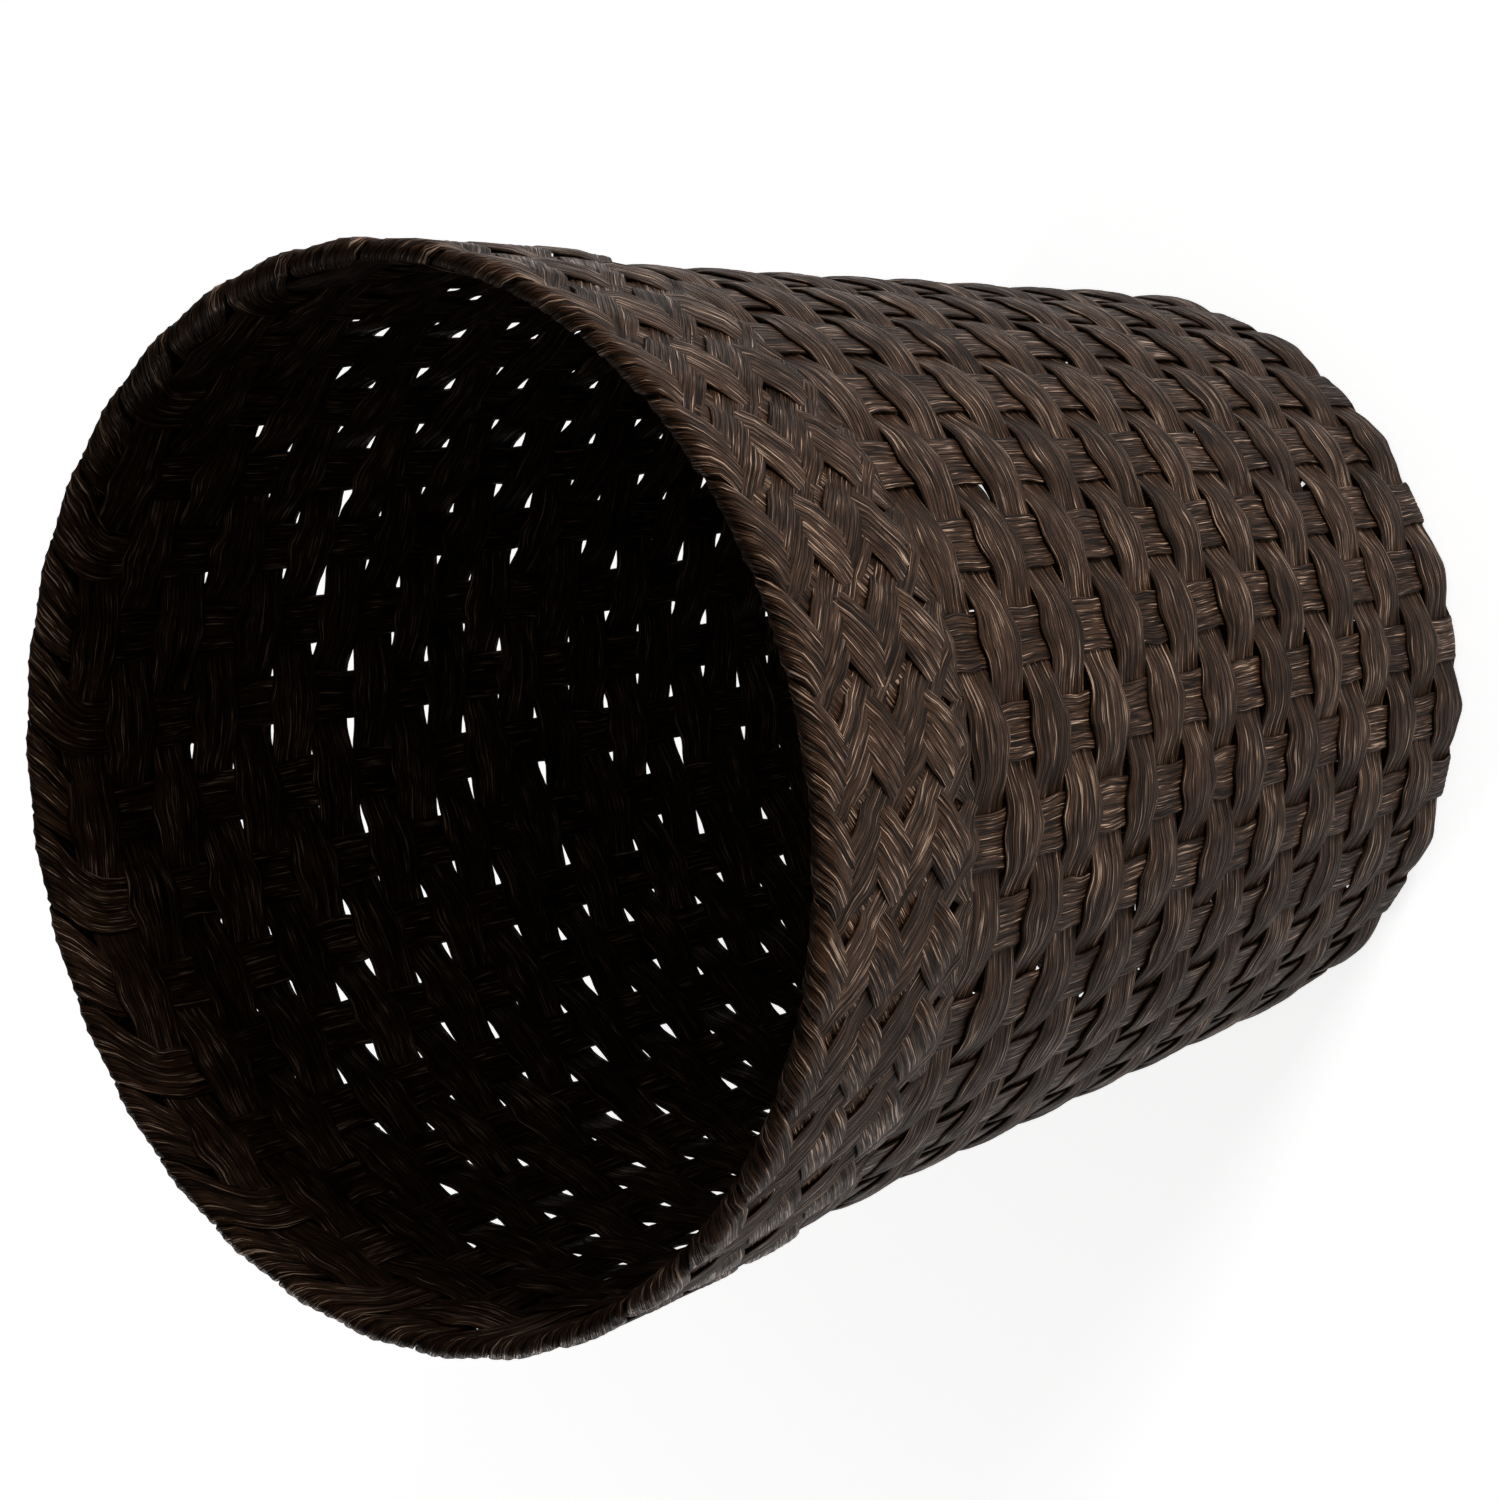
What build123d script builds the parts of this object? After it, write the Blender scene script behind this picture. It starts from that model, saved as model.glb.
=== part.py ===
from build123d import *
import math
import os

# A round, tapered wastebasket woven from flat strips. Seventeen base strips cross
# under the bottom and turn up into thirty-four stakes. Closed hoops of the same
# strip are woven round them, and the stake ends fold over the rim and lie down the
# outside as a slanted, two-way border.
# Origin: centre of the underside. +Z: up, to the open mouth. Millimetres.

# Overall
height = 305.0
mouth_radius = 130.0            # outside of the border, at the rim
base_radius = 105.0             # outside of the weave, at the foot

# Strips and weave
strip_thickness = 0.9
stake_width = 14.0              # at the rim: a stake is squeezed narrower down the taper
weave_gap = 0.15                # clear space between strips that pass over each other
strips_along_x = 9
strips_along_y = 8
squareness = 1 / 9              # third-harmonic share: the most that leaves the crest without a dip
points_per_wave = 12

# Wall rows
wall_rows = 22
first_row_bottom = 4.5          # lower edge of the lowest row
rim_clearance = 9.5             # from the upper edge of the highest row to the rim
row_gap = 0.5

# Bottom
mat_gap = 1.0                   # between neighbouring strips of the crossed middle
base_rows = 2
corner_radius = 3.0             # bend of a stake where the bottom turns up into the wall
ramp_length = 3.0               # run in which a raised strip comes down beside the middle
edge_clearance = 1.0            # between the base rows and what they lie beside

# Border
border_height = 57.0            # from the rim down to the border's lower edge
border_strip_width = 14.0
border_thickness = 0.8          # a little less than the strip: the slanted part is pressed flat
pitch_drop = 22.8               # height in which a border strip passes one stake space
turn_height = 2.0               # joined part where a border strip turns back upwards
turn_width = 12.0
turn_rise = 0.4                 # of the joined part above the border's lower edge
fold_fullness = 0.98            # share of the fold's half width that its bends take up
leg_length = 2.0                # straight part of the fold before the slanted strip

# Worked out from the above
stake_count = 2 * (strips_along_x + strips_along_y)
pitch_deg = 360.0 / stake_count
border_sweep_deg = border_height / pitch_drop * pitch_deg
half_angle = stake_width / (2 * mouth_radius)
half_thickness = strip_thickness / 2


def wave(x):
    """Flattened cosine between +1 and -1."""
    return (math.cos(x) - squareness * math.cos(3 * x)) / (1 - squareness)


# A hoop clears a stake's edges when its height there is one strip and one gap.
weave_lift = (strip_thickness + weave_gap) / wave(stake_count / 2 * half_angle)
layer = strip_thickness + weave_gap
rising_offset = weave_lift + layer
falling_offset = rising_offset + layer

top_mid = mouth_radius - falling_offset - half_thickness
base_mid = base_radius - weave_lift - half_thickness
bottom_z = weave_lift + half_thickness
slope = math.atan2(top_mid - base_mid, height)
half_across = half_thickness / math.cos(slope)
half_border = border_thickness / 2


def wall_radius(z):
    """Radius of the middle of a stake at a height."""
    return base_mid + (top_mid - base_mid) * z / height


def offset_points(points, distance):
    """Corners of a polyline moved sideways, to its left for a positive distance."""
    moved = []
    for i, (x, y) in enumerate(points):
        turns = []
        for a, b in ((i - 1, i), (i, i + 1)):
            if 0 <= a and b < len(points):
                turns.append(math.atan2(points[b][1] - points[a][1], points[b][0] - points[a][0]))
        first, last = turns[0], turns[-1]
        middle = first + ((last - first + math.pi) % (2 * math.pi) - math.pi) / 2
        reach = distance / math.cos(middle - first)
        moved.append((x - reach * math.sin(middle), y + reach * math.cos(middle)))
    return moved


def bent_profile(points, radii):
    """Face of one strip's thickness along a polyline with rounded bends, on XZ."""
    sides = []
    for side in (1, -1):
        moved = offset_points(points, side * half_thickness)
        rounds = []
        for i, radius in enumerate(radii):
            a, b, c = points[i], points[i + 1], points[i + 2]
            turn = (b[0] - a[0]) * (c[1] - b[1]) - (b[1] - a[1]) * (c[0] - b[0])
            rounds.append(radius - side * math.copysign(half_thickness, turn))
        sides.append(FilletPolyline(*[(x, 0, z) for x, z in moved], radius=rounds))
    left, right = sides
    return make_face([left, Line(left @ 1, right @ 1), right, Line(right @ 0, left @ 0)])


def turned(profile, half_width_deg):
    """Profile on XZ turned about Z, equally to both sides of the XZ plane."""
    return Rot(0, 0, -half_width_deg) * revolve(profile, Axis.Z, 2 * half_width_deg)


def wall_layer(offset, z_low, z_high, half_width_deg):
    """Piece of a conical border layer, at an offset outside the stakes."""
    corners = []
    for z, side in ((z_low, -1), (z_low, 1), (z_high, 1), (z_high, -1)):
        corners.append((wall_radius(z) + offset + side * half_border, 0, z))
    return turned(make_face(Polyline(*corners, close=True)), half_width_deg)


def slanted_strip(offset, z_low, z_high, low_side, middle_deg):
    """Border strip that leans over, cut from a conical layer. low_side is +1 or -1."""
    mean_radius = wall_radius((z_low + z_high) / 2) + offset
    reach = mean_radius * math.sin(math.radians(border_sweep_deg / 2))
    half_foot = border_strip_width / 2 / math.sin(math.atan2(z_high - z_low, 2 * reach))
    outline = [
        (low_side * reach - half_foot, z_low),
        (low_side * reach + half_foot, z_low),
        (-low_side * reach + half_foot, z_high),
        (-low_side * reach - half_foot, z_high),
    ]
    face = make_face(Polyline(*[(0, y, z) for y, z in outline], close=True))
    prism = extrude(face, amount=2 * mouth_radius, dir=(1, 0, 0))
    layer_piece = wall_layer(offset, z_low, z_high, border_sweep_deg)
    return Rot(0, 0, middle_deg) * (layer_piece & prism)


# Bottom: sizes of the crossed middle and of the ring of base rows round it
foot_width = 2 * half_angle * base_radius
mat_pitch = foot_width + mat_gap
mat_half_x = (strips_along_y - 1) / 2 * mat_pitch + foot_width / 2
mat_half_y = (strips_along_x - 1) / 2 * mat_pitch + foot_width / 2
mat_corner = math.hypot(mat_half_x, mat_half_y + edge_clearance + ramp_length)
base_row_inner = mat_corner + edge_clearance
base_row_outer = wall_radius(first_row_bottom) - weave_lift - half_thickness
segment_start = mat_corner - half_thickness


def upright():
    """Stake from the bottom, round the corner, up the wall and over the rim, at angle 0."""
    fold_middle = falling_offset / 2
    top = height - half_thickness
    leg_end = top - fold_middle - leg_length
    path = [
        (segment_start, bottom_z),
        (wall_radius(bottom_z), bottom_z),
        (wall_radius(top), top),
        (wall_radius(top) + falling_offset, top),
        (wall_radius(leg_end) + falling_offset, leg_end),
    ]
    fold_radius = fold_fullness * fold_middle
    return turned(bent_profile(path, [corner_radius, fold_radius, fold_radius]), math.degrees(half_angle))


def border_end():
    """Border part of the stake at angle 0: down to the left, turned, and up to the left."""
    z_low = height - border_height
    z_high = height - half_thickness - falling_offset / 2
    falling = slanted_strip(falling_offset, z_low, z_high, -1, -border_sweep_deg / 2)
    rising = slanted_strip(rising_offset, z_low, z_high, 1, -1.5 * border_sweep_deg)
    turn_low = z_low + turn_rise
    corners = []
    for z, offset in ((turn_low, rising_offset), (turn_low, falling_offset)):
        corners.append((wall_radius(z) + offset, 0, z))
    turn_high = turn_low + turn_height
    for z, offset in ((turn_high, falling_offset), (turn_high, rising_offset)):
        corners.append((wall_radius(z) + offset, 0, z))
    half_turn_deg = math.degrees(turn_width / 2 / wall_radius(turn_low))
    turn = Rot(0, 0, -border_sweep_deg) * turned(make_face(Polyline(*corners, close=True)), half_turn_deg)
    return falling + turn + rising


def fan(x, y, heading_deg, angle_deg):
    """Flat piece that leads a base strip from the crossed middle to its stake's own angle."""
    points = []
    end = segment_start + edge_clearance
    places = ((x, y, heading_deg), (end * math.cos(math.radians(angle_deg)),
                                    end * math.sin(math.radians(angle_deg)), angle_deg))
    for px, py, heading in places:
        side = math.radians(heading + 90)
        half = foot_width / 2 if (px, py) == (x, y) else half_angle * end
        for way in (1, -1):
            points.append((px + way * half * math.cos(side), py + way * half * math.sin(side)))
    a, b, c, d = points
    outline = make_hull([Line(a, b), Line(c, d), Line(a, c), Line(b, d)])
    return Pos(0, 0, bottom_z - half_thickness) * extrude(outline, strip_thickness)


def base_strip(along_deg, side, half_mat, raised, stake_deg):
    """One strip: the run across the bottom and both of its stakes, with their border ends."""
    lead = half_mat + edge_clearance
    if raised:
        high = bottom_z + layer
        foot = lead + ramp_length
        path = [(-foot - edge_clearance, bottom_z), (-foot, bottom_z), (-lead, high)]
        path += [(-x, z) for x, z in reversed(path)]
        sides = [offset_points(path, way * half_thickness) for way in (1, -1)]
        outline = sides[0] + sides[1][::-1]
        run_end = foot
        profile = make_face(Polyline(*[(x, 0, z) for x, z in outline], close=True))
        run = extrude(profile, foot_width / 2, dir=(0, 1, 0), both=True)
    else:
        run_end = lead
        run = Pos(0, 0, bottom_z) * Box(2 * lead, foot_width, strip_thickness)
    strip = Rot(0, 0, along_deg) * Pos(0, side, 0) * run
    turn = math.radians(along_deg)
    for way in (1, -1):
        x = way * run_end * math.cos(turn) - side * math.sin(turn)
        y = way * run_end * math.sin(turn) + side * math.cos(turn)
        angle = along_deg + (stake_deg if way == 1 else 180 - stake_deg)
        strip += fan(x, y, along_deg + (0 if way == 1 else 180), angle)
        strip += Rot(0, 0, angle) * stake
    return strip


def hoop(corner_curves):
    """Closed ring whose section has one corner on each of four closed curves."""
    faces = []
    for i, curve in enumerate(corner_curves):
        faces.append(Face.make_surface_from_curves(curve, corner_curves[(i + 1) % len(corner_curves)]))
    return Solid(Shell(faces))


def wavy_curve(radius, z, radial_lift, upward_lift):
    """Closed curve that passes each stake on alternate sides."""
    points = []
    total = points_per_wave * stake_count // 2
    for i in range(total):
        angle = 2 * math.pi * i / total
        share = wave(stake_count / 2 * angle)
        r = radius + radial_lift * share
        points.append((r * math.cos(angle), r * math.sin(angle), z + upward_lift * share))
    return Edge.make_spline(points, periodic=True)


def wall_hoop(z_low, z_high, phase):
    lift = phase * weave_lift
    corners = ((z_low, -1), (z_low, 1), (z_high, 1), (z_high, -1))
    return hoop([wavy_curve(wall_radius(z) + side * half_across, z, lift, 0) for z, side in corners])


def base_hoop(inner, outer, phase):
    lift = -phase * weave_lift
    corners = ((inner, -1), (outer, -1), (outer, 1), (inner, 1))
    return hoop([wavy_curve(r, bottom_z + side * half_thickness, 0, lift) for r, side in corners])


os.makedirs("parts", exist_ok=True)
stake = upright() + border_end()

for i in range(strips_along_x):
    place = i - (strips_along_x - 1) / 2
    strip = base_strip(0, place * mat_pitch, mat_half_x, False, place * pitch_deg)
    export_step(strip, f"parts/base_strip_x_{i + 1:02d}.step")

for i in range(strips_along_y):
    place = i - (strips_along_y - 1) / 2
    strip = base_strip(90, place * mat_pitch, mat_half_y, True, place * pitch_deg)
    export_step(strip, f"parts/base_strip_y_{i + 1:02d}.step")

base_row_pitch = (base_row_outer - base_row_inner + row_gap) / base_rows
for i in range(base_rows):
    inner = base_row_inner + i * base_row_pitch
    row = base_hoop(inner, inner + base_row_pitch - row_gap, (-1) ** (base_rows - i))
    export_step(row, f"parts/base_weaver_{i + 1:02d}.step")

row_pitch = (height - rim_clearance - first_row_bottom + row_gap) / wall_rows
for i in range(wall_rows):
    z_low = first_row_bottom + i * row_pitch
    row = wall_hoop(z_low, z_low + row_pitch - row_gap, (-1) ** i)
    export_step(row, f"parts/wall_weaver_{i + 1:02d}.step")
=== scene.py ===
import bpy
import numpy as np
from mathutils import Matrix, Vector


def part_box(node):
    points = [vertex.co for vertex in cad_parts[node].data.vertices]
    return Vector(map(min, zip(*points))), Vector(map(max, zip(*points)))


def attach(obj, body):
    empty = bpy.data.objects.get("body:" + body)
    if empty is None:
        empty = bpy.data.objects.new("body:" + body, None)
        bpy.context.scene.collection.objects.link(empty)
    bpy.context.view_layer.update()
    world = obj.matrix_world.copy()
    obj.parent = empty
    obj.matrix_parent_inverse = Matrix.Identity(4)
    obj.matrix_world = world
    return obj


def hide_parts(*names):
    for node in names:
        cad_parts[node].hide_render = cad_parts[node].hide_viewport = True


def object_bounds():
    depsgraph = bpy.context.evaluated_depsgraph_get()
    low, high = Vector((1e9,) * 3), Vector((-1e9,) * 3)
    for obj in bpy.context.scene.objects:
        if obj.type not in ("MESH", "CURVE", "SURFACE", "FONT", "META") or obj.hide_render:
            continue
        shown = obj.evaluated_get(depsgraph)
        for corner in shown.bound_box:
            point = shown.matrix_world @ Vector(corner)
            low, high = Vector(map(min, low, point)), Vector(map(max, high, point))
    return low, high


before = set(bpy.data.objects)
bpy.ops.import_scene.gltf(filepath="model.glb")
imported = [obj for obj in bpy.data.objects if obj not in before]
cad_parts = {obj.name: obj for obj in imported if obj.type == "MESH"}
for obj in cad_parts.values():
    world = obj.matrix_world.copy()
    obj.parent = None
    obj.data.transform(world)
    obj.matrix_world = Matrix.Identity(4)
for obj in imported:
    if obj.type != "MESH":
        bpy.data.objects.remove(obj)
cad_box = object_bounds()
MM = 0.001

# ---------------------------------------------------------------------------
# Wall weavers. Each row of the wall is a closed hoop of flat plant-fibre strip,
# passed in front of one stake and behind the next. It swells into a lens over
# each stake that it crosses and is pinched to a bundle where it dives between two.
# ---------------------------------------------------------------------------
STAKES = 34
PITCH = 2 * np.pi / STAKES
wall_rows = 22
visible_rows = 19  # the rows above these are hidden from outside by the border
strip_thickness = 0.95 * MM
edge_thinning = 0.55  # share of the thickness that is gone at a strip's very edge
cord_level = 1.27  # about twice the mean of an absolute sine, so that cords add no thickness
cord_drift = 0.45  # how far the cords wander sideways, in radians of their own wave
noise_length = 50 * MM  # shortest wave of the drift and of the tint along a strip
tint_change = 0.3  # how much the tint changes along one strip
back_shift = 7  # half widths between the pattern of a strip's front and that of its back
pattern_length = 5  # metres of pattern, somewhere in which each strip begins
foot_row, top_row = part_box("wall_weaver_01"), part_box(f"wall_weaver_{wall_rows}")
hoop_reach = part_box("base_weaver_01")[1].z / 2  # from the line that a hoop weaves about to its face
row_pitch = (top_row[0].z - foot_row[0].z) / (wall_rows - 1)
slope = (top_row[1].y - foot_row[1].y) / (top_row[1].z - foot_row[1].z)
radius_at_zero = foot_row[1].y - hoop_reach - slope * foot_row[1].z


def wall_radius(z):
    """Radius of the stakes' middle line: a straight line in height, so the wall is a cone."""
    return radius_at_zero + slope * z


def steady_noise(rng, t, lowest, highest):
    """Noise that closes on itself: a sum of sines with whole numbers of turns over t from 0 to 1
    and random phases, scaled to a standard deviation of about one."""
    turns = np.arange(lowest, highest + 1)
    phases = rng.uniform(0, 2 * np.pi, len(turns))
    waves = np.sin(2 * np.pi * t[..., None] * turns + phases)
    return waves.sum(-1) * np.sqrt(2 / len(turns))


def straight_across(line, normal, upper, lower, closed, columns):
    """Grid of a strip's middle sheet, its normals and its mean half width. Each point is the line's
    point plus a share from -1 to 1 of the half width of its side, along the cross product of the
    line's direction and the normal."""
    if closed:
        tangent = np.roll(line, -1, 0) - np.roll(line, 1, 0)
    else:
        tangent = np.gradient(line, axis=0)
    across = np.cross(tangent, normal)
    across /= np.linalg.norm(across, axis=1, keepdims=True)
    out = np.cross(across, tangent)
    out /= np.linalg.norm(out, axis=1, keepdims=True)
    share = np.linspace(-1, 1, columns)
    half = np.where(share < 0, upper[:, None], lower[:, None])
    sheet = line[:, None, :] + across[:, None, :] * (share * half)[..., None]
    normals = np.repeat(out[:, None, :], columns, axis=1)
    return sheet, normals, float(np.mean(upper + lower)) / 2


def cord_relief(rng, t, share, turns, cords):
    """Lengthwise cords on one face of a strip: for each set, its height times twice the absolute
    sine of the share across, less its mean, with a phase that drifts along the strip. Cords lists
    the height of each set and half the number of its cords. They fade at the strip's edges."""
    relief = np.zeros((len(t), len(share)))
    for size, count_across in cords:
        drift = cord_drift * steady_noise(rng, t, 1, turns)[:, None]
        wave = np.abs(np.sin(np.pi * (count_across * share + rng.uniform()) + drift))
        relief += size * (2 * wave - cord_level)
    return relief * (1 - share ** 6)


def end_caps(columns, last):
    """Faces that close a strip's two ends, each joining a front point to the back point below it."""
    k = np.arange(columns - 1)
    caps = []
    for first, flip in ((0, True), (last, False)):
        cap = np.stack([k, k + 1, 2 * columns - 2 - k, 2 * columns - 1 - k], -1) + first
        caps.append(cap[:, ::-1] if flip else cap)
    return np.concatenate(caps)


def strip_surface(sheet, normals, nominal, crown, rng, closed, shade, cords):
    """Closed surface of a strip from the grid of its middle sheet: points, faces, UV map, groove and
    tone. Each point moves along its normal by the crown times one minus the share across squared,
    plus or minus half the thickness, which falls off at the edges, and plus the cords. The tone is
    the shade plus slow noise along the strip; on border strips the shade also holds a painted sheen."""
    count, columns = sheet.shape[:2]
    spans = count if closed else count - 1
    line = sheet[:, columns // 2]
    steps = np.linalg.norm(np.roll(line, -1, 0) - line, axis=1)[:spans]
    length = np.concatenate([[0.0], np.cumsum(steps)])
    t = length[:count] / length[-1]
    share = np.linspace(-1, 1, columns)
    body = 0.5 * strip_thickness * (1 - edge_thinning * share ** 10)
    turns = max(2, int(length[-1] / noise_length))
    front_cords = cord_relief(rng, t, share, turns, cords)
    back_cords = cord_relief(rng, t, share, turns, cords)
    lift = crown[:, None] * (1 - share ** 2)
    front = sheet + normals * (lift + body + front_cords)[..., None]
    back = sheet + normals * (lift - body - back_cords)[..., None]
    points = np.concatenate([front, back[:, ::-1]], axis=1)
    groove = np.concatenate([front_cords, back_cords[:, ::-1]], axis=1) / sum(size for size, _ in cords)
    tint = np.reshape(shade, (-1, 1)) + tint_change * steady_noise(rng, t, 1, turns)[:, None]
    tint = np.broadcast_to(tint, groove.shape)
    ring = 2 * columns
    i, j = np.meshgrid(np.arange(spans), np.arange(ring), indexing="ij")
    i2, j2 = (i + 1) % count, (j + 1) % ring
    faces = np.stack([i * ring + j, i * ring + j2, i2 * ring + j2, i2 * ring + j], -1).reshape(-1, 4)
    place = np.concatenate([share, share[::-1] + back_shift]) * nominal
    start = rng.uniform(0, pattern_length)
    u = np.stack([length[i], length[i], length[i + 1], length[i + 1]], -1) + start
    v = np.stack([place[j], place[j2], place[j2], place[j]], -1)
    uv = np.stack([u, v], -1).reshape(-1, 4, 2)
    if not closed:
        caps = end_caps(columns, (count - 1) * ring)
        faces = np.concatenate([faces, caps])
        uv = np.concatenate([uv, np.full((len(caps), 4, 2), start)])
    return points.reshape(-1, 3), faces, uv, groove.reshape(-1), tint.reshape(-1)


def strip_piece(node, surfaces, material):
    """One object from a list of strip surfaces, placed in its mesh, in place of its CAD node."""
    mesh = bpy.data.meshes.new(f"woven_{node}")
    points, faces, uv, groove, tint = zip(*surfaces)
    offsets = np.cumsum([0] + [len(p) for p in points[:-1]])
    faces = np.concatenate([f + offset for f, offset in zip(faces, offsets)])
    points = np.concatenate(points)
    mesh.vertices.add(len(points))
    mesh.vertices.foreach_set("co", points.ravel())
    mesh.loops.add(faces.size)
    mesh.loops.foreach_set("vertex_index", faces.ravel())
    mesh.polygons.add(len(faces))
    mesh.polygons.foreach_set("loop_start", np.arange(len(faces)) * 4)
    mesh.polygons.foreach_set("use_smooth", np.ones(len(faces), bool))
    mesh.uv_layers.new(name="strip").data.foreach_set("uv", np.concatenate(uv).ravel())
    for label, values in (("groove", groove), ("tint", tint)):
        values = np.concatenate(values).astype(np.float32)
        mesh.attributes.new(label, "FLOAT", "POINT").data.foreach_set("value", values)
    mesh.update(calc_edges=True)
    mesh.validate()
    mesh.materials.append(material)
    piece = bpy.data.objects.new(mesh.name, mesh)
    bpy.context.scene.collection.objects.link(piece)
    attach(piece, "root")
    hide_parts(node)


class Amount:
    """A number that varies over the surface. Arithmetic on it adds Math nodes."""

    def __init__(self, finish, socket):
        self.finish, self.socket = finish, socket

    def _math(self, operation, first, second):
        return self.finish.add("ShaderNodeMath", {"operation": operation}, {0: first, 1: second})

    def __add__(self, other):
        return self._math("ADD", self, other)

    def __sub__(self, other):
        return self._math("SUBTRACT", self, other)

    def __rsub__(self, other):
        return self._math("SUBTRACT", other, self)

    def __mul__(self, other):
        return self._math("MULTIPLY", self, other)

    __radd__ = __add__
    __rmul__ = __mul__

    def __abs__(self):
        return self._math("ABSOLUTE", self, 0.0)

    def limited(self):
        """The same number, kept between 0 and 1."""
        return self.finish.add("ShaderNodeClamp", {}, {"Value": self})


class Finish:
    """A material and the one way in which its nodes are added."""

    def __init__(self, name):
        self.material = bpy.data.materials.new(name)
        self.material.use_nodes = True
        self.tree = self.material.node_tree
        self.shader = self.tree.nodes["Principled BSDF"]

    def add(self, kind, settings, inputs, output=0):
        """Adds a node, makes its settings, such as its operation or a ramp's stops, and then gives
        its sockets values or links."""
        node = self.tree.nodes.new(kind)
        for name, value in settings.items():
            if name == "stops":
                self._set_stops(node.color_ramp.elements, value)
            else:
                setattr(node, name, value)
        self._fill(node, inputs)
        return Amount(self, node.outputs[output])

    def shade(self, **inputs):
        """Gives the shader's sockets values or links. An underscore stands for a space."""
        self._fill(self.shader, {name.replace("_", " "): value for name, value in inputs.items()})

    def _fill(self, node, inputs):
        for name, value in inputs.items():
            if isinstance(value, Amount):
                self.tree.links.new(value.socket, node.inputs[name])
            else:
                node.inputs[name].default_value = value

    def _set_stops(self, elements, stops):
        while len(elements) < len(stops):
            elements.new(0.5)
        for element, (place, colour) in zip(elements, stops):
            element.position = place
            element.color = (*colour, 1)


# Ramp colours. The deep end is partly the darkest stain and partly painted shade in the cracks and cord
# grooves; the even one is the fibre's own brown.
stain_and_crack_shade = (0.0035, 0.0015, 0.0007)
even_stain = (0.0445, 0.0208, 0.0108)


def stained_fibre(name, pale, smoothest):
    """Stained plant fibre. Streaks that follow the strip's length come from noise stretched along
    the UV map: fine ones and hairs for single fibres and broader ones for bundles. Splits, partings
    and the grooves between cords are darker, as painted shade in the valleys that the bump also
    cuts, and the cords' crests are lighter, as painted highlight. The ramp's pale stop paints glints
    on the brightest streaks. Darker fibre is rougher."""
    finish = Finish(name)
    uv = finish.add("ShaderNodeUVMap", {"uv_map": "strip"}, {})

    def streaks(along, across, detail, shift):
        """Noise with so many waves to a metre along and across the strip."""
        place = finish.add("ShaderNodeVectorMath", {"operation": "MULTIPLY_ADD"},
                           {0: uv, 1: (along, across, 1.0), 2: (shift, shift, shift)})
        return finish.add("ShaderNodeTexNoise", {},
                          {"Vector": place, "Scale": 1.0, "Detail": detail, "Roughness": 0.6}, "Fac")

    def thin_lines(streak, sharpness):
        """Lines where the noise crosses its middle: 1 on the line, falling to 0 beside it."""
        return (1 - abs(streak - 0.5) * sharpness).limited()

    fine = streaks(along=60.0, across=2100.0, detail=1.0, shift=0.0)
    hair = streaks(along=130.0, across=4600.0, detail=1.0, shift=11.0)
    bundle = streaks(along=22.0, across=760.0, detail=0.0, shift=5.0)
    # Patches that break the painted glints into short pieces and shift the tone up and down.
    glint_patches = streaks(along=110.0, across=170.0, detail=2.0, shift=23.0)
    # Split and parting lines are valleys in the bump; their darkening of the tone below is painted shade.
    split = thin_lines(fine, sharpness=9)
    parting = thin_lines(bundle, sharpness=11)
    groove = finish.add("ShaderNodeAttribute", {"attribute_name": "groove"}, {}, "Fac")
    # Tint holds each strip's random tone and, on border strips, a painted sheen.
    tint = finish.add("ShaderNodeAttribute", {"attribute_name": "tint"}, {}, "Fac")
    height = fine * 0.7 + hair * 0.5 - split * 0.4 - parting * 0.6
    # The groove term paints the cords' crests lighter and the grooves between them darker: painted highlight
    # and painted shade.
    streaky = (fine - 0.5) * 1.1 + (hair - 0.5) * 1.8 + groove * 0.09
    tone = 0.61 + streaky + tint * 0.12 + (glint_patches - 0.5) * 0.7 - split * 0.42 - parting * 0.6
    tone = tone.limited()
    # The pale stop paints glints: the brightest streaks are painted highlights.
    stops = ((0.0, stain_and_crack_shade), (0.45, even_stain), (0.72, even_stain), (1.0, pale))
    colour = finish.add("ShaderNodeValToRGB", {"stops": stops}, {"Fac": tone})
    bump = finish.add("ShaderNodeBump", {}, {"Strength": 1.0, "Distance": 0.5 * MM, "Height": height})
    finish.shade(Base_Color=colour, Normal=bump, Roughness=smoothest + (1 - tone) * 0.3,
                 Specular_IOR_Level=0.09, Specular_Tint=(1.0, 0.78, 0.62, 1.0))
    return finish.material


# pale: colour of the painted glints on the weavers.
weaver_fibre = stained_fibre("weaver_fibre", pale=(0.36, 0.245, 0.172), smoothest=0.30)
weaver_cords = ((0.07 * MM, 1.9), (0.05 * MM, 4.3))


def per_crossing(rng, theta, spread):
    """A random amount for each stake crossing, blended from one to the next by a cosine."""
    amounts = rng.normal(0, spread, STAKES)
    place = theta / PITCH
    low = np.floor(place).astype(int)
    blend = (1 - np.cos(np.pi * (place - low))) / 2
    return amounts[low % STAKES] * (1 - blend) + amounts[(low + 1) % STAKES] * blend


hoop_sharpness = 1.3


def hoop_share(theta, first):
    """Flattened wave: +1 outside the stakes of one set, -1 inside the others. It is the
    hyperbolic tangent of a cosine with one turn for every two stakes."""
    return first * np.tanh(hoop_sharpness * np.cos(STAKES / 2 * theta)) / np.tanh(hoop_sharpness)


def hoop_line(r, theta, z):
    """Points of a hoop from its radius, angle and height."""
    return np.stack([r * np.cos(theta), r * np.sin(theta), z], -1)


hoop_samples = STAKES * 11
hoop_columns = 24
part_of_turn = (np.arange(hoop_samples) + 0.5) / hoop_samples
pinched_half = 6.62 * MM
swollen_half = 8.35 * MM
foot_clearance = 1.6 * MM  # from the floor to the lowest row's lower edge

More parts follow.
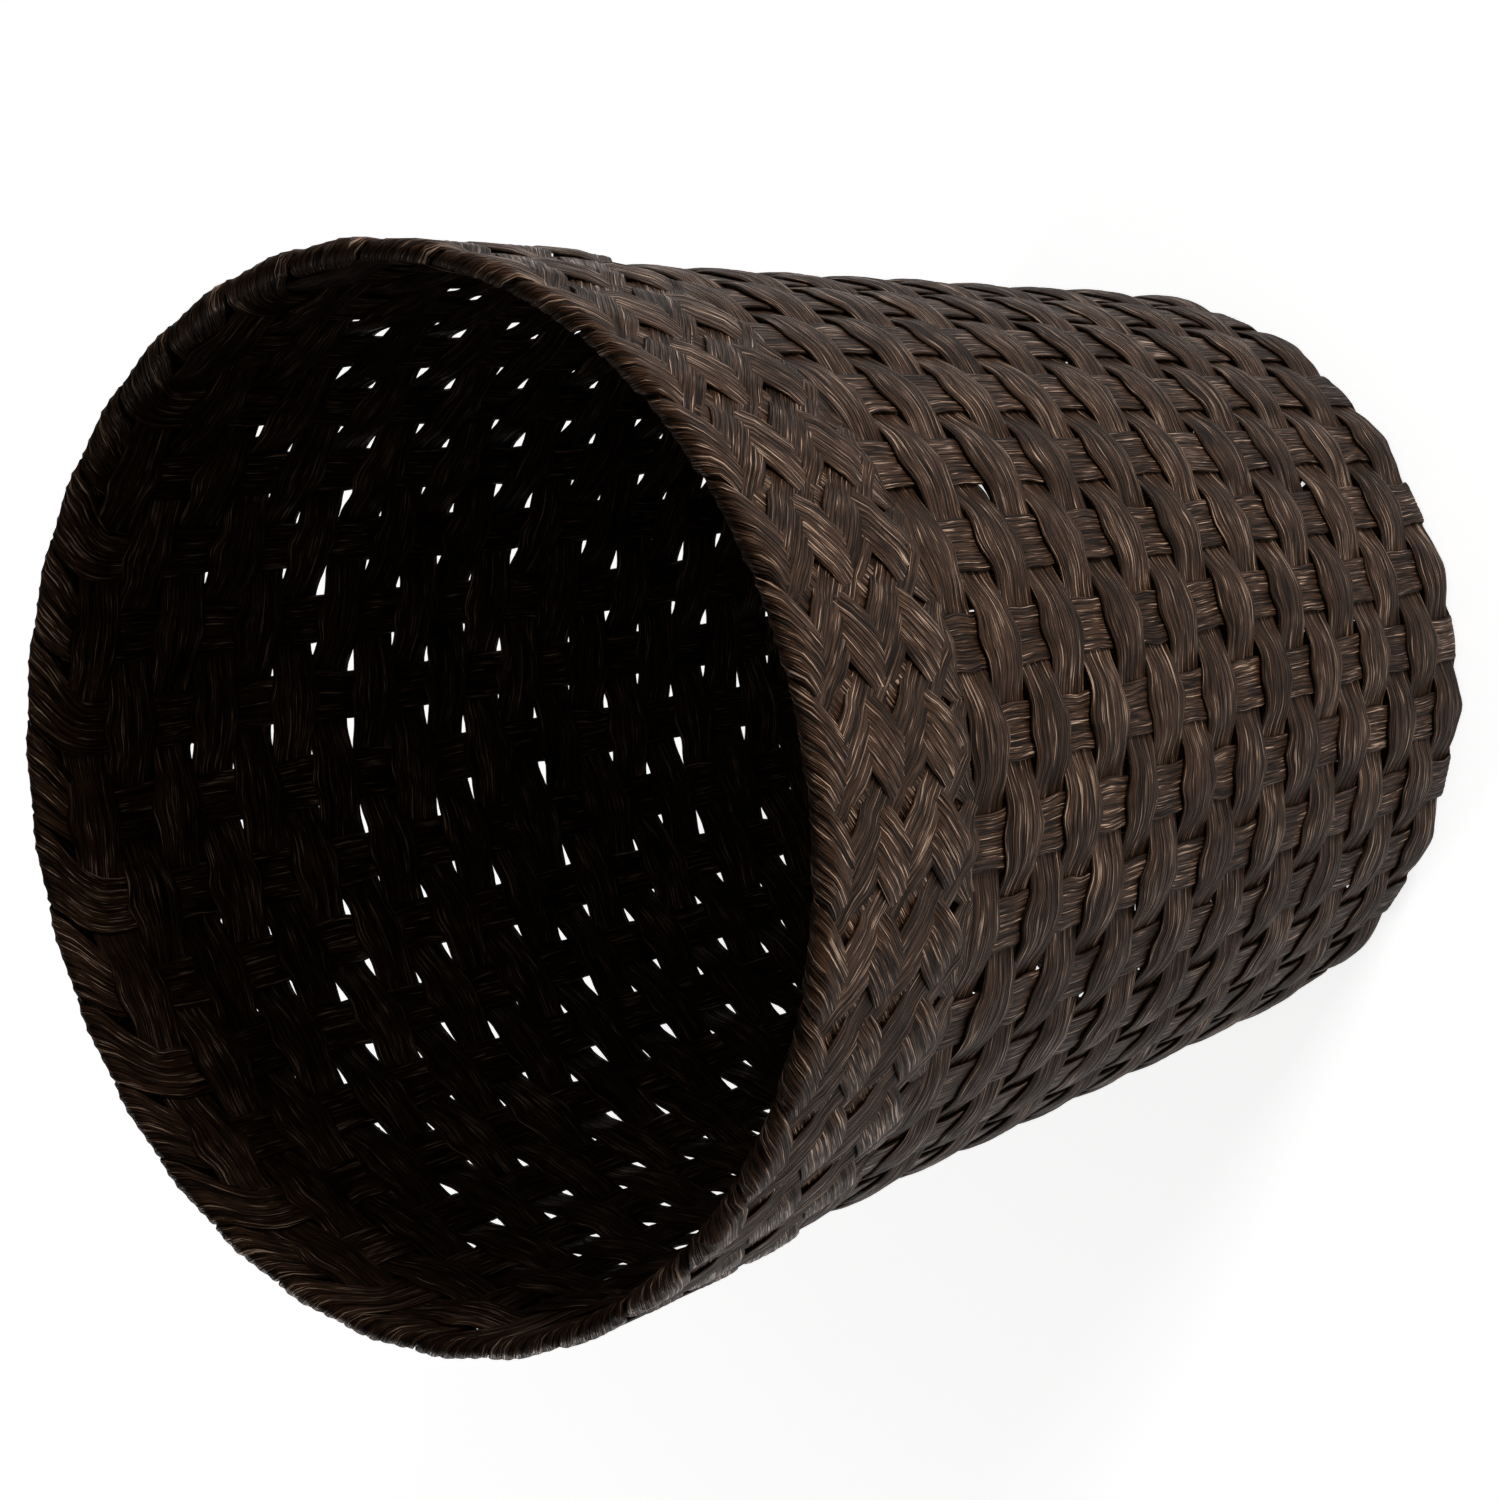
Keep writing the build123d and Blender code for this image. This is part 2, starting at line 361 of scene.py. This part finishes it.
for row in range(wall_rows):
    node = f"wall_weaver_{row + 1:02d}"
    low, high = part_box(node)
    rng = np.random.default_rng(100 + row)
    t = part_of_turn
    theta = t * 2 * np.pi + PITCH * (1 - row % 2)
    share = hoop_share(theta, (-1) ** row)
    swell = np.cos(STAKES / 2 * theta) ** 6
    covered = row >= visible_rows
    rise = (1.0 if covered else 1.12) * MM
    puff = np.where(share > 0, 0.2 * MM if covered else 0.6 * MM, 0.5 * MM)
    z = (low.z + high.z) / 2 + 0.35 * MM * steady_noise(rng, t, 1, 9) + per_crossing(rng, theta, 0.25 * MM)
    r = wall_radius(z) + share * rise + 0.15 * MM * steady_noise(rng, t, 1, 12)
    outward = np.stack([np.cos(theta), np.sin(theta), np.full_like(theta, -slope)], -1)
    sides = []
    for _ in range(2):
        half = pinched_half + (swollen_half - pinched_half) * swell
        half = half + per_crossing(rng, theta, 0.45 * MM) + 0.14 * MM * steady_noise(rng, t, 30, 90)
        sides.append(half)
    if row == 0:
        sides[1] = np.minimum(sides[1], z - foot_clearance)
    grid = straight_across(hoop_line(r, theta, z), outward, *sides, True, hoop_columns)
    shade = rng.normal(0, 0.3)
    surface = strip_surface(*grid, puff * share, rng, True, shade, weaver_cords)
    strip_piece(node, [surface], weaver_fibre)

# ---------------------------------------------------------------------------
# Bottom weavers. Two flat hoops of the same strip lie round the crossed middle of the
# bottom, over one stake and under the next, and the basket stands on their crests.
# ---------------------------------------------------------------------------
bottom_level = hoop_reach
bottom_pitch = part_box("base_weaver_02")[1].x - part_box("base_weaver_01")[1].x
bottom_rise = 0.78 * MM
bottom_puff = 0.3 * MM

for row in range(2):
    node = f"base_weaver_{row + 1:02d}"
    rng = np.random.default_rng(200 + row)
    t = part_of_turn
    theta = t * 2 * np.pi
    middle_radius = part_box(node)[1].x - bottom_pitch / 2
    r = middle_radius + 0.3 * MM * steady_noise(rng, t, 1, 8)
    share = hoop_share(theta, -(-1) ** row)
    upward = np.tile([0.0, 0.0, 1.0], (hoop_samples, 1))
    half = bottom_pitch / 2 * (0.9 + 0.18 * share ** 2) + per_crossing(rng, theta, 0.25 * MM)
    line = hoop_line(r, theta, bottom_level + share * bottom_rise)
    grid = straight_across(line, upward, half, half, True, hoop_columns)
    shade = rng.normal(0, 0.3)
    surface = strip_surface(*grid, bottom_puff * share, rng, True, shade, weaver_cords)
    strip_piece(node, [surface], weaver_fibre)

# ---------------------------------------------------------------------------
# Base strips. Seventeen flat strips cross in the middle of the bottom, fan out, turn up
# into two stakes each, fold over the rim and lie down the outside as one family of the
# border. Each end is turned back at the border's lower edge as the other family.
# ---------------------------------------------------------------------------
# pale: colour of the painted glints on the base strips.
stake_fibre = stained_fibre("stake_fibre", pale=(0.38, 0.255, 0.178), smoothest=0.28)
stake_cords = ((0.03 * MM, 1.4), (0.07 * MM, 3.6))
strip_columns = 26
width_change = 0.03  # how much a strip's width changes along it
rim_top = cad_box[1][2]
row_middle = (foot_row[0].z + foot_row[1].z) / 2

mat_pitch = 12.31 * MM  # between two parallel strips in the crossed middle
mat_weave = 0.5 * MM  # how far a strip rises and falls as it crosses the others
mat_lift = 0.55 * MM  # how far the crossed middle lies over the bottom hoops' level
mat_end = 58 * MM  # radius at which a strip begins to come down from the crossed middle
mat_fade = 16 * MM
hoop_give = 0.2 * MM  # how far a strip gives way to the bottom hoops
fan_end = 79 * MM  # radius at which a strip has turned to its stake's direction
fan_half = 6.95 * MM  # half width of a strip in its fan
fan_widening = 24 * MM
corner_half = 5.85 * MM  # half width of a strip in the crossed middle and at the corner
corner_narrowing = 20 * MM
corner_narrow_at = 101 * MM
corner_radius = 3.6 * MM
corner_r = wall_radius(bottom_level + corner_radius) - corner_radius
flat_step = 2.4 * MM

fold_radius = 1.95 * MM
half_fold = np.pi / 2 * fold_radius
fold_middle_z = rim_top - 0.5 * strip_thickness - fold_radius
border_depth = 57.0 * MM
border_run = border_depth + half_fold - fold_radius + 3.5 * MM  # along a strip, from rim to tucked end
crossing_step = 10.7 * MM
first_crossing = 3.5 * MM
border_weave = 0.62 * MM  # how far a border strip rises and falls as it crosses the others
border_level = -0.35 * MM  # mean height of a border strip over the ply below
tuck_length = 9 * MM
tuck_before_end = 6 * MM
tuck_depth = 2.6 * MM
tuck_narrowing = 0.62
lean = 1.122  # how far a border strip goes sideways for each step down
tilt_start = -12.0 * MM  # where a strip begins to lean, before the rim
tilt_softness = 2.4 * MM
rising_half = 7.2 * MM  # half width of the part turned back upwards


def rim_section(w):
    """Section of wall, rim and border at a signed distance w over the rim. Up the wall for
    negative w, a half circle over the top, then down outside: radius, height and normal."""
    turn = np.clip(w / fold_radius, -np.pi / 2, np.pi / 2) + np.pi / 2
    straight = np.where(w < -half_fold, -half_fold - w, np.where(w > half_fold, w - half_fold, 0.0))
    z = fold_middle_z - straight + fold_radius * np.sin(turn)
    r = wall_radius(fold_middle_z - straight) + fold_radius * (1 - np.cos(turn))
    return r, z, -np.cos(turn), np.sin(turn)


def about_axis(theta, r, z, normal_r, normal_z):
    """Points and normals of a section turned to each angle about the basket's axis."""
    c, s = np.cos(theta), np.sin(theta)
    return np.stack([r * c, r * s, z], -1), np.stack([normal_r * c, normal_r * s, normal_z + 0 * c], -1)


def wrapped_across(theta, w, height, half):
    """Grid and normals of a strip that lies on the wall, rim and border. The share across moves a
    point square to the strip's direction in angle and distance, and only then is it wrapped
    over the section, so that the strip's whole width follows the fold."""
    r = rim_section(w)[0]
    ahead_x, ahead_w = r * np.gradient(theta), np.gradient(w)
    size = np.hypot(ahead_x, ahead_w)
    step = np.linspace(-1, 1, strip_columns) * half[:, None]
    w_grid = w[:, None] + step * (ahead_x / size)[:, None]
    theta_grid = theta[:, None] - step * (ahead_w / size / r)[:, None]
    r, z, normal_r, normal_z = rim_section(w_grid)
    h = height[:, None]
    return about_axis(theta_grid, r + h * normal_r, z + h * normal_z, normal_r, normal_z)


def border_ply(w, sign):
    """Height of a border strip over the ply below, how far it is tucked, and its wave: a flattened
    cosine that is up at every other crossing, and sinks under the first visible weaver at the
    lower edge. The sign is 1 for the falling strips and -1 for the rising ones."""
    depth = w - half_fold + fold_radius
    wave = np.tanh(3.0 * np.cos(np.pi * (depth - first_crossing) / crossing_step)) / np.tanh(3.0)
    tuck = np.clip((depth - border_depth + tuck_before_end) / tuck_length, 0, 1)
    tuck = tuck * tuck * (3 - 2 * tuck)
    outside = np.clip(w / (3 * MM), 0, 1)
    height = (sign * border_weave * wave + border_level) * (1 - tuck) - tuck_depth * tuck
    return outside * height, tuck, wave * outside


def border_crown(wave, tuck):
    """Crown of a border strip: fullest where it passes over, and gone where it is tucked."""
    return (0.12 + 0.2 * np.maximum(wave, 0)) * (1 - tuck) * MM


def fan(start, end, angle):
    """Cubic from one place and the X direction to another place at the angle, with both slopes as
    long as the straight line between the two."""
    s = np.linspace(0, 1, 13)[1:, None]
    reach = np.linalg.norm(end - start)
    start_slope, end_slope = np.array([reach, 0.0]), reach * np.array([np.cos(angle), np.sin(angle)])
    return ((2 * s ** 3 - 3 * s ** 2 + 1) * start + (s ** 3 - 2 * s ** 2 + s) * start_slope
            + (-2 * s ** 3 + 3 * s ** 2) * end + (s ** 3 - s ** 2) * end_slope)


def bottom_part(half_mat, side, heading, angle, stake_sign, weave, phase):
    """Grid and normals of half a base strip from the bottom's middle to the foot of the wall:
    straight across the middle, a fan to the stake's direction, and a quarter circle upwards."""
    inner = np.linspace(0, half_mat, int(half_mat / flat_step))
    direction = np.array([np.cos(angle), np.sin(angle)])
    radial = np.linspace(fan_end, corner_r, 10)[1:, None] * direction
    flat = np.concatenate([np.stack([inner, np.full_like(inner, side)], -1),
                           fan(np.array([half_mat, side]), fan_end * direction, angle), radial])
    distance = np.concatenate([[0], np.cumsum(np.linalg.norm(np.diff(flat, axis=0), axis=1))])
    radius = np.linalg.norm(flat, axis=1)
    settle = np.clip((radius - mat_end) / mat_fade, 0, 1)
    over_mat = mat_lift + weave * np.cos(np.pi * distance / mat_pitch - phase)
    level = bottom_level + (1 - settle) * over_mat - settle * stake_sign * hoop_give
    turn = np.array([[np.cos(heading), -np.sin(heading)], [np.sin(heading), np.cos(heading)]])
    flat_line = np.concatenate([flat @ turn.T, level[:, None]], axis=1)
    flat_normal = np.tile([0.0, 0.0, 1.0], (len(flat), 1))
    bend = np.linspace(0, np.pi / 2, 7)[1:]
    bend_line, bend_normal = about_axis(
        np.full(len(bend), heading + angle), corner_r + corner_radius * np.sin(bend),
        bottom_level + corner_radius * (1 - np.cos(bend)), -np.sin(bend), np.cos(bend))
    beyond_mat = np.clip((distance - half_mat) / fan_widening, 0, 1)
    before_corner = np.clip((corner_narrow_at - radius) / corner_narrowing, 0, 1)
    flat_half = corner_half + (fan_half - corner_half) * beyond_mat * before_corner
    half = np.concatenate([flat_half, np.full(len(bend), corner_half)])
    line = np.concatenate([flat_line, bend_line])
    normal = np.concatenate([flat_normal, bend_normal])
    return straight_across(line, normal, half, half, False, strip_columns)[:2]


def standing_part(rng, world_angle, stake_sign):
    """Grid, normals, crown and painted-sheen share of half a base strip from the foot of the wall:
    straight up as a stake, leaning over near the rim, over it, and down outside as a falling border
    strip, which is painted lighter as a sheen."""
    w_start = bottom_level + corner_radius + flat_step - fold_middle_z - half_fold
    w = np.arange(w_start, border_run, 2.15 * MM)
    r, z = rim_section(w)[:2]
    t = (w - w_start) / (border_run - w_start)
    give = 0.3 * MM * stake_sign * np.cos(np.pi * (z - row_middle) / row_pitch)
    give *= np.clip((-w - 14 * MM) / (8 * MM), 0, 1)
    height, tuck, wave = border_ply(w, 1)
    shift = tilt_softness * np.log1p(np.exp((w - tilt_start) / tilt_softness)) * lean
    sway = np.clip(-w / (40 * MM), 0, 1) * 0.35 * MM * steady_noise(rng, t, 1, 6)
    theta = world_angle - shift / wall_radius(rim_top) + sway / r
    half = np.minimum(6.95 * MM * r / (126 * MM), 7.0 * MM)
    half = half + 0.35 * MM * np.clip(w / (4 * MM) + 1, 0, 1) + 0.75 * MM * np.exp(-(w / (7 * MM)) ** 2)
    half = half * (1 - tuck_narrowing * tuck)
    half *= 1 + width_change * steady_noise(rng, t, 5, 40)
    crown = np.where(w > 0, border_crown(wave, tuck), 0.1 * MM)
    # The last value is the painted-sheen share: 0 at the top of the rim, rising to 1 four millimetres down
    # the outside.
    return *wrapped_across(theta, w, give + height, half), crown, np.clip(w / (4 * MM), 0, 1)


def half_strip(rng, half_mat, side, heading, angle, stake_sign, weave, phase):
    """Grid, normals, crown and painted-sheen share of half a base strip, from the bottom's middle to
    its falling border part."""
    sheet, normals = bottom_part(half_mat, side, heading, angle, stake_sign, weave, phase)
    plain = np.zeros(len(sheet))
    above = standing_part(rng, heading + angle, stake_sign)
    return [np.concatenate(pair) for pair in zip((sheet, normals, plain, plain), above)]


def rising_strip(rng, world_angle):
    """Grid, normals and crown of the part turned back upwards: from the border's lower edge to the
    rim, leaning the same way as it climbs, under the falling parts where they are up."""
    w = np.arange(border_run, 0.4 * MM, -2.0 * MM)
    height, tuck, wave = border_ply(w, -1)
    under = np.clip((5 * MM - w) / (4 * MM), 0, 1)
    shift = (border_run - tilt_start) * lean + (border_run - w) * lean
    theta = world_angle - shift / wall_radius(rim_top)
    half = rising_half * (1 - tuck_narrowing * tuck) * (1 - 0.3 * under)
    half *= 1 + width_change * steady_noise(rng, np.linspace(0, 1, len(w)), 1, 9)
    return *wrapped_across(theta, w, height - 0.9 * MM * under, half), border_crown(wave, tuck)


for label, count, others in (("x", 9, 8), ("y", 8, 9)):
    for i in range(count):
        node = f"base_strip_{label}_{i + 1:02d}"
        first_heading = 0 if label == "x" else 90
        rng = np.random.default_rng(300 + first_heading + i)
        place = i - (count - 1) / 2
        half_mat = (others + (0.5 if label == "x" else 0.0)) / 2 * mat_pitch
        halves, surfaces = [], []
        for way in (1, -1):
            heading = np.radians(first_heading + (0 if way == 1 else 180))
            angle = way * place * PITCH
            stake = round((heading + angle) / PITCH)
            weave = mat_weave * (-1) ** i * (way if label == "x" else -1)
            phase = np.pi / 2 if label == "x" else 0.0
            halves.append(half_strip(rng, half_mat, way * place * mat_pitch, heading, angle,
                                     (-1) ** stake, weave, phase))
            sheet, normals, crown = rising_strip(rng, heading + angle)
            # Parts turned back upwards are darker on average: painted shade for the sheen that their fibre
            # direction misses, plus a random tone per strip.
            shade = rng.normal(-0.35, 0.25)
            surfaces.append(strip_surface(sheet, normals, rising_half, crown, rng, False, shade, stake_cords))
        ahead, behind = halves
        turned = [behind[0][:0:-1, ::-1], behind[1][:0:-1, ::-1], behind[2][:0:-1], behind[3][:0:-1]]
        sheet, normals, crown, painted_sheen_share = [np.concatenate(pair) for pair in zip(turned, ahead)]
        # Down the outside the falling parts are painted lighter as a sheen, plus a random tone per strip.
        shade = 0.55 * painted_sheen_share + rng.normal(0, 0.2)
        strip = strip_surface(sheet, normals, 6.5 * MM, crown, rng, False, shade, stake_cords)
        strip_piece(node, [strip] + surfaces, stake_fibre)

# ---------------------------------------------------------------------------
# Studio. A pale floor that carries on past the view, large soft lights and the camera.
# ---------------------------------------------------------------------------
floor_reach = 40.0
floor_mesh = bpy.data.meshes.new("floor")
floor_corners = [(-floor_reach, -floor_reach, 0), (floor_reach, -floor_reach, 0),
                 (floor_reach, floor_reach, 0), (-floor_reach, floor_reach, 0)]
floor_mesh.from_pydata(floor_corners, [], [(0, 1, 2, 3)])
floor = bpy.data.objects.new("floor", floor_mesh)
bpy.context.scene.collection.objects.link(floor)
paper = Finish("pale_paper")
paper.shade(Base_Color=(0.9, 0.9, 0.9, 1), Roughness=0.9,
            Emission_Color=(1, 1, 1, 1), Emission_Strength=0.75)
floor_mesh.materials.append(paper.material)

mouth_radius = 130 * MM
mouth_centre = Vector((0, 0, rim_top))
camera_place = mouth_centre + mouth_radius * Vector((-0.024, -5.222, 4.951))
forward = Vector((0.0, 0.661, -0.751)).normalized()
right = Vector((-0.192, -0.738, -0.648))
right = (right - forward * right.dot(forward)).normalized()
up = right.cross(forward)
camera_data = bpy.data.cameras.new("camera")
camera_data.lens = 97.0
camera_data.sensor_width = 36.0
camera_data.clip_end = 100
camera = bpy.data.objects.new("camera", camera_data)
bpy.context.scene.collection.objects.link(camera)
camera_turn = Matrix((right, up, -forward)).transposed().to_4x4()
camera.matrix_world = Matrix.Translation(camera_place) @ camera_turn
bpy.context.scene.camera = camera


def soft_light(name, place, aim, size, power):
    """A round area light of a size in metres and a power in watts, turned to face its aim."""
    data = bpy.data.lights.new(name, "AREA")
    data.shape = "DISK"
    data.size = size
    data.energy = power
    light = bpy.data.objects.new(name, data)
    light.location = place
    light.rotation_euler = (Vector(aim) - Vector(place)).to_track_quat("-Z", "Y").to_euler()
    bpy.context.scene.collection.objects.link(light)


soft_light("key", place=(1.25, -1.35, 0.30), aim=(0, 0, 0.15), size=0.5, power=26)
soft_light("low", place=(-0.3, -1.7, 0.2), aim=(0, 0, 0.12), size=0.5, power=6)
soft_light("top", place=(0.6, -0.6, 2.0), aim=(0, 0, 0.2), size=0.6, power=1.2)
soft_light("back", place=(-1.2, 1.5, 0.3), aim=(0, 0, 0.15), size=0.5, power=14)
world = bpy.data.worlds.new("studio")
world.use_nodes = True
background = world.node_tree.nodes["Background"]
background.inputs["Color"].default_value = (1, 1, 1, 1)
background.inputs["Strength"].default_value = 0.12
bpy.context.scene.world = world
bpy.context.scene.view_settings.view_transform = "Standard"
